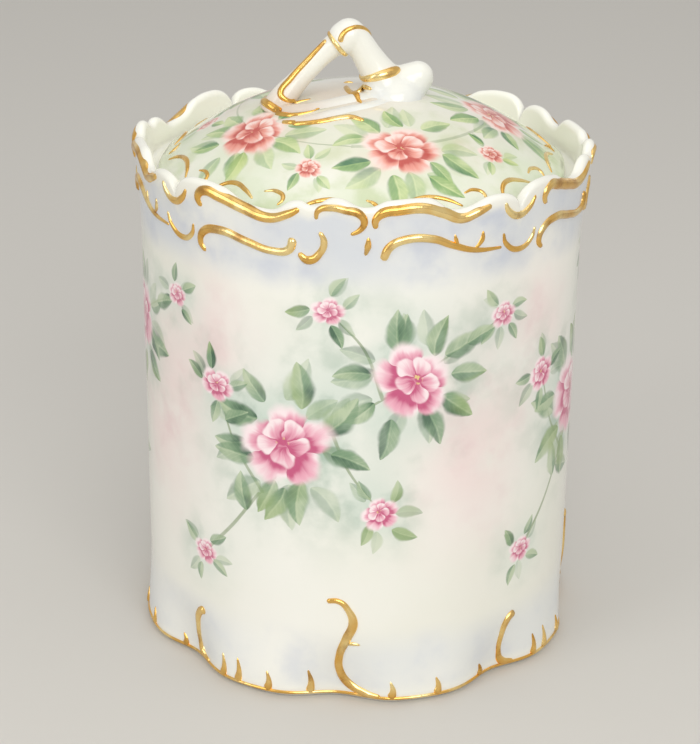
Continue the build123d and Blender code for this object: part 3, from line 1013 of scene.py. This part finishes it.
blush = np.exp(-(((arc - BLOSSOM_REACH) / BLUSH_WIDTH) ** 2)) * BLUSH_STRENGTH
keep(dome, "washes", np.stack([beige, mint, blush], axis=1) * on_top[:, None])
finish_piece(lid, "lid", "porcelain_lid", "lid_dome")

# %% [markdown]
# ## The twig handle
# Two canes lean together in a knuckle, and a root stub lies beside them. A potter rolls the canes and sticks them on.
# Two low ridges run from the left foot over the dome to the root, like the ends of torn bark.
# Tubes and balls are joined here by a voxel remesh and then smoothed, which rounds the joints as wet clay does.

# %% The handle
LEFT_CANE = [
    (-24.5, -10.6, -6.8, 5.0), (-22.0, -9.6, -2.0, 4.0), (-18.4, -8.3, 2.4, 3.2),
    (-13.1, -6.9, 8.0, 2.9), (-9.2, -5.9, 11.8, 3.2), (-4.2, -5.2, 15.9, 4.0),
]
RIGHT_CANE = [
    (-3.4, -5.2, 16.3, 4.2), (-0.6, -4.7, 12.8, 4.1), (1.7, -4.2, 9.1, 4.4),
    (4.2, -3.7, 5.1, 5.2), (8.2, -2.8, -2.3, 8.5),
]
ROOT = [(6.6, -3.2, 0.3, 5.4), (11.5, -2.0, 1.9, 5.0), (15.6, -1.0, 3.3, 4.6)]
ROOT_FOOT = [(15.2, -1.2, 2.6, 4.6), (13.4, -2.2, -0.4, 4.8), (11.2, -3.6, -4.2, 6.4)]
ROOT_BED = [
    (1.6, -6.0, -4.2, 3.2), (4.8, -5.6, -3.4, 5.8), (8.6, -5.2, -3.0, 6.8), (12.4, -4.2, -2.6, 6.2),
    (16.0, -3.0, -3.4, 3.6),
]
KNUCKLE = [(-3.9, -5.2, 15.7, 4.8), (-5.0, -5.4, 14.9, 4.8)]
RIDGES = [
    [(-28.5, -1, 2.2, 0.2), (-26.5, -7, 2.8, 0.9), (-22.5, -12.5, 3.2, 1.1), (-17, -15.5, 3.6, 1.1),
     (-10, -15, 4.2, 1.0), (-2, -11, 5.0, 0.9), (5, -6, 5.0, 0.5)],
    [(-22.5, -20.5, 2.0, 0.1), (-18, -22.3, 2.4, 0.7), (-12, -22.3, 2.8, 0.8), (-5, -19.5, 3.4, 0.7),
     (3, -15, 4.0, 0.5), (9, -9, 4.0, 0.1)],
]
VOXEL, SPONGE_FACTOR, SPONGE_STROKES = 0.45, 0.5, 14
SEAT_DEPTH = 1.0
DOME_MIDDLE = np.array([0, 0, DOME_CENTRE])
ROOT_WASH_AND_SHADE_BASE, ROOT_WASH_AND_SHADE_RISE, ROOT_WASH_AND_SHADE_ACROSS, RIGHT_ROOT_PAINTED_SHADE = 3, 9, 14, 0.8


def bedded(ridge):
    """Stations of a low ridge, each so deep in the dome that it stands proud by the last of its four numbers."""
    stations = []
    for x, y, radius, proud in ridge:
        height = np.sqrt((DOME_RADIUS + proud - radius) ** 2 - x * x - y * y)
        stations.append((x, y, DOME_CENTRE + height - DOME_TOP, radius))
    return stations


def tube(stations, sides=28, steps=40):
    """Points and faces of a closed tube through balls, in millimetres above the dome's top."""
    line = smooth_path(stations, steps)
    centres, radii = line[:, :3], line[:, 3]
    ahead = unit(np.gradient(centres, axis=0))
    side = unit(np.cross(ahead, (0.0, 1.0, 0.0)))
    over = np.cross(ahead, side)
    angles = 2 * np.pi * np.arange(sides)[None, :, None] / sides
    outward = np.cos(angles) * side[:, None] + np.sin(angles) * over[:, None]
    return skin(centres[:, None] + radii[:, None, None] * outward, centres[0], centres[-1])


def ball(centre_and_radius, rings=18):
    """A closed ball as a tube whose radius follows a half circle."""
    x, y, z, radius = centre_and_radius
    angles = np.linspace(0.02, np.pi - 0.02, rings)
    return tube([(x, y, z - radius * np.cos(a), radius * np.sin(a)) for a in angles], steps=3 * rings)


def seat(points):
    """Lift what lies deep in the dome to just under its surface."""
    offset = points - DOME_MIDDLE
    distance = np.linalg.norm(offset, axis=1)
    factor = np.maximum(distance, DOME_RADIUS - SEAT_DEPTH) / distance
    return DOME_MIDDLE + offset * factor[:, None]


def build_handle():
    points, faces, count = [], [], 0
    shapes = [tube(line) for line in (LEFT_CANE, RIGHT_CANE, ROOT, ROOT_FOOT, ROOT_BED, *map(bedded, RIDGES))]
    for spots, sides in shapes + [ball(place) for place in (*KNUCKLE, ROOT[-1])]:
        points.append(spots)
        faces += [[count + index for index in face] for face in sides]
        count += len(spots)
    mesh = bpy.data.meshes.new("glazed_twig_handle")
    mesh.from_pydata(((np.vstack(points) + (0, 0, DOME_TOP)) * MM).tolist(), [], faces)
    piece = add_piece("glazed_twig_handle", mesh)
    remesh = piece.modifiers.new("clay", "REMESH")
    remesh.mode = "VOXEL"
    remesh.voxel_size = VOXEL * MM
    remesh.use_smooth_shade = True
    soften = piece.modifiers.new("wet sponge", "SMOOTH")
    soften.factor, soften.iterations = SPONGE_FACTOR, SPONGE_STROKES
    piece = as_plain_mesh(piece)
    move_points(piece.data, seat(points_of(piece.data)))
    piece.data.materials.clear()
    piece.data.materials.append(handle_glaze)
    return piece


handle = build_handle()
clay = points_of(handle.data)
# A beige wash low on the left, and grey-blue painted shade low on the right, where the handle meets the dome.
low = np.clip(1 - (clay[:, 2] - DOME_TOP + ROOT_WASH_AND_SHADE_BASE) / ROOT_WASH_AND_SHADE_RISE, 0, 1)
left = np.clip(-clay[:, 0] / ROOT_WASH_AND_SHADE_ACROSS, 0, 1)
keep(handle.data, "washes", np.stack([low * left, low * (1 - left) * RIGHT_ROOT_PAINTED_SHADE, 0 * low], axis=1))
finish_piece(handle, "lid", "porcelain_handle", "lid_handle")

# %% [markdown]
# ## Gold strokes
# A scroll is drawn flat first, as a Bezier curve in degrees and millimetres, with the brush's width as its radius.
# A geometry tree then lays it on the wall or the dome by that surface's rule, sweeps a round section along it,
# and copies it round the axis. The section is sunk a little, so that only a low rounded bead shows, and it shrinks
# near both ends of the stroke, which rounds them off.

# %% Strokes and their trees
BEAD_SHARE = 0.53
SINK_SHARE = 0.3
PROUD = 0.9
LEAST_END = 0.1


def bead(width):
    """The radius of a section that shows a given width and stands out by PROUD at most."""
    radius = width * BEAD_SHARE
    return radius if radius * (1 - SINK_SHARE) < PROUD else (width**2 / 4 + PROUD**2) / (2 * PROUD)


def swell(width, count, end=0.4):
    """Widths along a stroke: as they are given, or fullest in the middle."""
    if isinstance(width, list):
        return width
    return [width * (end + (1 - end) * np.sin(np.pi * step / (count - 1)) ** 0.8) for step in range(count)]


def flat_strokes(name, strokes):
    """A curve object that holds every stroke as a spline, still flat."""
    data = bpy.data.curves.new(name, "CURVE")
    data.dimensions = "3D"
    data.resolution_u = 16
    for brush, line in strokes:
        spline = data.splines.new("BEZIER")
        spline.bezier_points.add(len(line) - 1)
        for point, spot, width in zip(spline.bezier_points, line, swell(brush, len(line))):
            point.co = (*spot, 0)[:3]
            point.handle_left_type = point.handle_right_type = "AUTO"
            point.radius = bead(width)
    return add_piece(name, data)


def build_stroke_tree(name, lay, *extra):
    """A tree that lays strokes on a surface, sweeps a bead along them and copies them round the axis."""
    inputs = [("Geometry", "Geometry", None), ("Copies", "Int", REPEATS), ("Sides", "Int", 12), ("Step", "Float", 0.5)]
    inputs += [("Gilding", "Material", None), *extra]
    tree, given, made = new_tree(name, "GeometryNodeTree", inputs, [("Geometry", "Geometry")])
    by_length = {"mode": "LENGTH"}
    cut = add(tree, "GeometryNodeResampleCurve", 0, by_length, Curve=given["Geometry"], Length=given["Step"])
    thick = add(tree, "GeometryNodeInputRadius")
    sunk = calc("MAXIMUM", thick * SINK_SHARE, thick - PROUD)
    laid = add(tree, "GeometryNodeSetPosition", Geometry=cut, Position=lay(given, sunk))
    circle = add(tree, "GeometryNodeCurvePrimitiveCircle", "Curve", Radius=1.0, Resolution=given["Sides"])
    place = add(tree, "GeometryNodeSplineParameter", "Length")
    from_end = calc("MINIMUM", place, add(tree, "GeometryNodeSplineLength", "Length") - place)
    short = 1.0 - calc("MINIMUM", from_end / (thick * MM), 1.0)
    rounded = calc("MAXIMUM", calc("SQRT", 1.0 - short * short), LEAST_END)
    size = rounded * thick * MM
    sweep = add(tree, "GeometryNodeCurveToMesh", Curve=laid, Profile_Curve=circle, Scale=size, Fill_Caps=True)
    axis = add(tree, "GeometryNodePoints", Count=given["Copies"])
    turn = join(0.0, 0.0, add(tree, "GeometryNodeInputIndex") * (2 * np.pi / given["Copies"]))
    copies = add(tree, "GeometryNodeInstanceOnPoints", Points=axis, Instance=sweep, Rotation=turn)
    dress(copies, given["Gilding"], made["Geometry"])
    return tree


def flat_place(tree):
    """The turn in radians and the height or reach of a flat point."""
    across, up, _ = split(add(tree, "GeometryNodeInputPosition"))
    return across * (np.pi / 180), up


def on_wall(given, sunk):
    """A place on the wall, and a little under it."""
    turn, up = flat_place(sunk.tree)
    return rolled(turn, use_group(wall_rule, Turn=turn, Height=up)["Radius"] - sunk, up)


def on_dome(given, sunk):
    """A place on the dome, and a little under it."""
    turn, up = flat_place(sunk.tree)
    share = 1.0 - sunk / DOME_RADIUS
    return rolled(turn, up * share, calc("SQRT", DOME_RADIUS**2 - up * up) * share + DOME_CENTRE)


def scaled(vector, size):
    return add(vector.tree, "ShaderNodeVectorMath", 0, {"operation": "SCALE"}, Vector=vector, Scale=size)


def on_clay(given, sunk):
    """The nearest place on the handle or the lid, and a little under it."""
    tree = sunk.tree
    both = tree.nodes.new("GeometryNodeJoinGeometry")
    for name in ("Handle", "Lid"):
        feed(add(tree, "GeometryNodeObjectInfo", "Geometry", Object=given[name]), both.inputs[0])
    sample = {"Mesh": Result(both.outputs[0]), "Sample_Position": scaled(add(tree, "GeometryNodeInputPosition"), MM)}

    def nearest(kind):
        vector = {"data_type": "FLOAT_VECTOR"}
        return add(tree, "GeometryNodeSampleNearestSurface", "Value", vector, Value=add(tree, kind), **sample)

    depth = scaled(nearest("GeometryNodeInputNormal"), sunk * MM)
    return calc("SUBTRACT", nearest("GeometryNodeInputPosition"), depth, kind="ShaderNodeVectorMath")


def gild(name, strokes, tree, body, *nodes, **values):
    """Draw strokes, lay them with a tree and finish them as one piece."""
    finish_piece(grow(flat_strokes(name, strokes), tree, Gilding=gold, **values), body, "gilding", *nodes)


wall_strokes = build_stroke_tree("Strokes on the wall", on_wall)
dome_strokes = build_stroke_tree("Strokes on the dome", on_dome)
clay_strokes = build_stroke_tree("Strokes on the clay", on_clay, ("Handle", "Object", None), ("Lid", "Object", None))
print("stroke trees with", [len(tree.nodes) for tree in (wall_strokes, dome_strokes, clay_strokes)], "nodes")

# %% [markdown]
# ## Scrolls of the rim, the collar and the foot
# The scrolls follow the frame's, drawn finer: a brush lingers at some ends and lifts at others. Small extras are added:
# forked tips, a bar and a loop on the collar, a spur at the foot, flames along its edge and the gold line under them.

# %% Scrolls on the wall
RIM_SCROLLS = [
    ([1.4, 2.2, 2.8, 3.0, 2.9, 2.7, 2.3, 1.4],
     [(-35.8, 7.8), (-36.8, 5.2), (-35.2, 2.6), (-30.4, 2.4), (-23.8, 4.8), (-17.2, 6.7), (-12, 5.2), (-9.2, 3.1)]),
    (2.2, [(-5.4, 6), (-4.8, 3.2), (-2, 1.6), (1.4, 1.7), (4.6, 3.6), (5.6, 6.2), (4.6, 8.4), (2.4, 9.8)]),
    ([1.3, 2.2, 2.8, 2.9, 2.9, 2.8, 2.8, 2.4, 1.4],
     [(8.2, 8.2), (8.2, 5.4), (9.8, 2.8), (13.2, 2.1), (19.6, 2.3), (24.2, 4.4), (28.8, 6), (33.2, 4.8), (36.4, 3)]),
    (2.2, [(40, 3.4), (41.2, 6.6), (44.4, 8.6), (47.8, 6.8), (49.6, 3.2)]),
]
COLLAR_SCROLLS = [
    ([1.3, 2.0, 2.5, 2.6, 2.4, 2.2, 2.4, 2.6],
     [(-35.4, 20.6), (-37, 18.2), (-35.6, 14.6), (-30.4, 13.2), (-23, 14.8), (-16.4, 16.2), (-12.2, 15.4),
      (-10.9, 11.6)]),
    ([1.5, 2.6, 2.0, 1.9, 1.1], [(-9.8, 15.8), (-7.4, 17.7), (-4.6, 15.4), (-3.6, 12), (-4.6, 9.2)]),
    ([2.2, 2.6, 2.5, 2.3, 2.0, 1.6, 0.8],
     [(10, 17.2), (11.7, 13.2), (15, 11.5), (21.8, 11.8), (26.6, 14), (32.4, 16.2), (40.5, 17)]),
    (1.3, [(28.4, 14.6), (27.6, 12.8), (27.2, 11)]),
    (1.6, [(32.4, 16.2), (34.4, 13.6), (34.5, 11)]),
    (1.9, [(6.6, 10.4), (6.5, 13), (5.9, 15.8)]),
    (1.8, [(40.4, 12.8), (41.6, 16.2), (46.2, 18.8), (50, 16.6), (50.9, 13.4)]),
]
FOOT_SCROLLS = [
    ([1.6, 1.8, 2.0, 2.8, 2.8, 2.3, 2.5, 3.0, 2.6, 1.2],
     [(-2.7, 33), (0.6, 33), (3, 30.2), (4.2, 26), (2.6, 21), (0.8, 15.2), (0.8, 9.8), (3.2, 5.4), (7.4, 2.9),
      (11.5, 2.1)]),
    ([2.8, 2.6, 2.0, 1.8, 2.6, 1.2], [(51.4, 19.8), (48.8, 17.8), (47.4, 12.8), (47.3, 7.2), (48.6, 3.4), (52.4, 2.1)]),
    (1.3, [(2.2, 18.9), (4.2, 19.3), (6.2, 18.9)]),
]
FOOT_LINE_HEIGHT, FOOT_LINE_WIDTH = 1.8, 1.0
FLAMES = [(-31.3, 9), (-26.4, 9.4), (-17.8, 8), (-7.2, 9.6), (14, 7.4), (25.8, 7.4), (40, 6)]
FLAME_WIDTHS, FLAME_WAIST, FLAME_SWAY, FLAME_LEAN = [3.0, 1.9, 0.5], 0.4, 0.5, 0.2
EDGE_ROOM = 0.9


def dropped(strokes):
    """Turn drops below the rim into heights, and keep each stroke clear of the lip's edge."""
    made = []
    for brush, line in strokes:
        least = edge_drop([x for x, drop in line]) + np.array(swell(brush, len(line))) / 2 + EDGE_ROOM
        made.append((brush, [(x, RIM_HEIGHT - max(drop, low)) for (x, drop), low in zip(line, least)]))
    return made


def foot_strokes():
    """The foot's scrolls, the gold line under them and the flames on it."""
    line = [(float(x), FOOT_LINE_HEIGHT) for x in range(-46, 47, 2)]
    strokes = FOOT_SCROLLS + [([FOOT_LINE_WIDTH] * len(line), line)]
    for angle, top in FLAMES:
        waist = FLAME_WAIST * top + (1 - FLAME_WAIST) * FOOT_LINE_HEIGHT
        flame = [(angle, FOOT_LINE_HEIGHT), (angle + FLAME_SWAY, waist), (angle - FLAME_LEAN, top)]
        strokes.append((FLAME_WIDTHS, flame))
    return strokes


gild("gilt_rim_scrolls", dropped(RIM_SCROLLS), wall_strokes, "jar", "rim_scrolls")
gild("gilt_collar_scrolls", dropped(COLLAR_SCROLLS), wall_strokes, "jar", "collar_scrolls")
gild("gilt_foot_scrolls", foot_strokes(), wall_strokes, "jar", "foot_scrolls")

# %% [markdown]
# ## Gold on the lid
# Short scrolls run along the lid's border, four times round. The handle's lines are drawn once, so their tree makes
# a single copy. They are guides in the air, and the tree drops each point on the nearest clay: cane, ridge or dome.

# %% Strokes on the lid
BORDER_SCROLLS = [
    (1.6, [(-42, 56.6), (-40, 54.2), (-36, 52.8), (-31, 53.8), (-27, 55.6)]),
    (1.4, [(-25, 53.2), (-21, 52.6), (-18, 54.2), (-19, 56.2)]),
    (1.6, [(-13, 56.4), (-8, 54), (-2, 53.4), (3, 55.2)]),
    (1.4, [(6, 53), (9, 54.6), (9, 56.6)]),
    (1.6, [(14, 56.6), (18, 54.2), (24, 53), (30, 54.2), (34, 56.4)]),
    (1.3, [(36, 53.2), (40, 52.8), (42.5, 54.4), (41.5, 56.4)]),
]
HANDLE_LINES = [
    ([1.4, 1.9, 2.0, 1.9, 1.5, 1.1, 0.5],
     [(-10.1, -7.5, 14.8), (-15.2, -8.8, 9.1), (-19.9, -10.7, 4), (-22.5, -12.9, 0.2), (-20.9, -13.5, -1.4),
      (-17.6, -11.6, -2.2), (-13.9, -10.6, -1.5)]),
    ([1, 2.2, 2.4, 1.8, 1.1, 0.5],
     [(-28.7, 1.5, -4.4), (-28, -5, -4), (-25.2, -14, -3.2), (-19.1, -19.6, -3.6), (-14.7, -19.8, -3),
      (-10.5, -18.2, -2.2)]),
    ([1.0, 1.8, 2.0, 2.1, 2.0, 1.4],
     [(-21.1, -23.2, -5), (-16, -25.2, -4.6), (-9.9, -25.4, -3.8), (-4.8, -24, -3.2), (-1.4, -23.4, -3),
      (2.5, -25, -3.4)]),
    ([1.6, 2.0, 2.1, 1.2], [(-5.1, -1.8, 1.8), (-3.6, -6.6, 1.8), (-1.6, -10, 2), (0.5, -15, 1)]),
    (1.6, [(-2.6, -8.2, 1.6), (-0.6, -6.2, 1), (1.2, -7.6, 1.3), (2.8, -9.6, 1.3)]),
    (1.2, [(-6.4, 3.2, 1.6), (-4.8, 3.6, 1.6), (-3.2, 3.2, 1.6)]),
]
ON_HANDLE = {"Copies": 1, "Handle": handle, "Lid": lid}


def above_dome(strokes):
    """Lift guides that are measured from the dome's top to their places."""
    return [(width, [(x, y, z + DOME_TOP) for x, y, z in line]) for width, line in strokes]


gild("gilt_lid_border", BORDER_SCROLLS, dome_strokes, "lid")
gild("gilt_handle_lines", above_dome(HANDLE_LINES), clay_strokes, "lid", **ON_HANDLE)

# %% [markdown]
# ## Gold bands on the handle
# A brush turned round a cane leaves a band, thicker where it lingered. The left cane has a whole ring.
# The right cane has an open band under the knuckle and a thick one above the root, both thin at the back.
# They are guides outside the canes, and the same tree drops them on the clay.

# %% Bands on the handle
RING_CENTRE, RING_WAY, RING_RADIUS, RING_WIDTH = (-7.6, -5.7, 13.1), (0.77, 0.11, 0.63), 4.6, 1.3
RING_STEPS, RING_START, RING_TURNS = 44, 1.2, 1.08
THICK_SIDE, THICK_SHARE = np.array([0.7, -0.7, 0.0]), 0.35
OPEN_BANDS = [
    ([1.7, 1.5, 1.3, 1.3, 1.2, 0.9, 0.5],
     [(-5.9, -9.4, 14.5), (-5, -9.6, 17.2), (-2.5, -8.8, 18.7), (0, -6.7, 18.4), (1.7, -4.1, 16.8), (2.2, -1.6, 14.6),
      (1.2, 0.2, 12.4)]),
    ([0.6, 1.0, 1.3, 1.6, 2.2, 2.9, 2.9, 1.9],
     [(3, 2, 5), (-0.4, -0.6, 4), (-1.2, -3.6, 3.5), (-0.1, -6.2, 3.4), (2.6, -8.9, 4.3), (6.1, -8.9, 5.5),
      (9.2, -6.6, 6.2), (10.6, -4, 6.7)]),
]


def ring_guide():
    """Widths and points of a ring whose end covers its start."""
    way = unit(np.array(RING_WAY))
    side = unit(np.cross(way, (0.0, 1.0, 0.0)))
    turns = RING_START + 2 * np.pi * np.linspace(0, RING_TURNS, RING_STEPS)[:, None]
    outward = np.cos(turns) * side + np.sin(turns) * np.cross(way, side)
    widths = RING_WIDTH * (1 + THICK_SHARE * outward @ THICK_SIDE)
    return widths.tolist(), RING_CENTRE + RING_RADIUS * outward


gild("gilt_handle_bands", above_dome([ring_guide(), *OPEN_BANDS]), clay_strokes, "lid", "handle_bands", **ON_HANDLE)

# %% [markdown]
# ## Stage and light
# A pale floor and soft lamps show the glaze without burning out the white. A tall lamp on the left is the window
# that the glaze mirrors, and a wide one above keeps the shadows soft.

# %% Stage
FLOOR_SIZE, FLOOR_COLOUR, FLOOR_ROUGHNESS = 8.0, tint("cfccc6"), 0.7
ROOM_COLOUR, ROOM_STRENGTH = (0.9, 0.89, 0.87, 1.0), 0.7
LAMPS = [
    ("window", (-0.62, -0.62, 0.5), (0.35, 0.8), 1.6),
    ("ceiling", (0.1, -0.1, 1.2), (1.2, 1.2), 2.2),
    ("front", (0.36, -1.05, 0.75), (0.9, 0.7), 7.0),
]
AIM = Vector((0, 0, 0.09))

bpy.ops.mesh.primitive_plane_add(size=FLOOR_SIZE)
floor = bpy.context.active_object
floor.name = "pale_floor"
floor_finish, shader = new_finish("pale_floor", FLOOR_ROUGHNESS)
feed(FLOOR_COLOUR, shader.inputs["Base Color"])
floor.data.materials.append(floor_finish)
floor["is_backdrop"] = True

scene = bpy.context.scene
scene.view_settings.view_transform = "Standard"
scene.world = bpy.data.worlds.new("soft_room")
scene.world.use_nodes = True
background = scene.world.node_tree.nodes["Background"]
feed(ROOM_COLOUR, background.inputs["Color"])
feed(ROOM_STRENGTH, background.inputs["Strength"])

for name, place, (wide, high), power in LAMPS:
    data = bpy.data.lights.new(name, "AREA")
    data.shape, data.size, data.size_y, data.energy = "RECTANGLE", wide, high, power
    lamp = add_piece(name, data)
    lamp.location = place
    lamp.rotation_euler = (AIM - Vector(place)).to_track_quat("-Z", "Y").to_euler()
print("lamps", [name for name, *_ in LAMPS])

# %% [markdown]
# ## Camera
# The camera stands where the photographer stood, higher than the lid. Its place, its three angles and its lens were
# fitted to the photograph, so the numbers are not round ones.

# %% Camera
CAMERA_TURN, CAMERA_REACH, CAMERA_HEIGHT = np.radians(5.0), 548.7, 307.0
PITCH, YAW, ROLL = 0.3973, -0.0054, 0.0115
FOCAL_PIXELS, IMAGE_HEIGHT, SENSOR = 1947.3, 744, 36.0

forward = np.array([np.sin(YAW) * np.cos(PITCH), np.cos(YAW) * np.cos(PITCH), -np.sin(PITCH)])
level = np.array([np.cos(YAW), -np.sin(YAW), 0.0])
upward = np.cross(level, forward)
right = level * np.cos(ROLL) + upward * np.sin(ROLL)
upward = upward * np.cos(ROLL) - level * np.sin(ROLL)
pose = Matrix([(*right, 0), (*upward, 0), (*-forward, 0), (0, 0, 0, 1)]).transposed()
pose.translation = (0, -CAMERA_REACH * MM, CAMERA_HEIGHT * MM)
camera = add_piece("camera", bpy.data.cameras.new("camera"))
camera.data.sensor_width = SENSOR
camera.data.lens = FOCAL_PIXELS / IMAGE_HEIGHT * SENSOR
camera.matrix_world = Matrix.Rotation(CAMERA_TURN, 4, "Z") @ pose
scene.camera = camera
print("lens", round(camera.data.lens, 1), "mm")

# %% Write the sizes and finish
low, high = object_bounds()
print("visual box in millimetres", [round(1000 * (b - a), 1) for a, b in zip(low, high)])
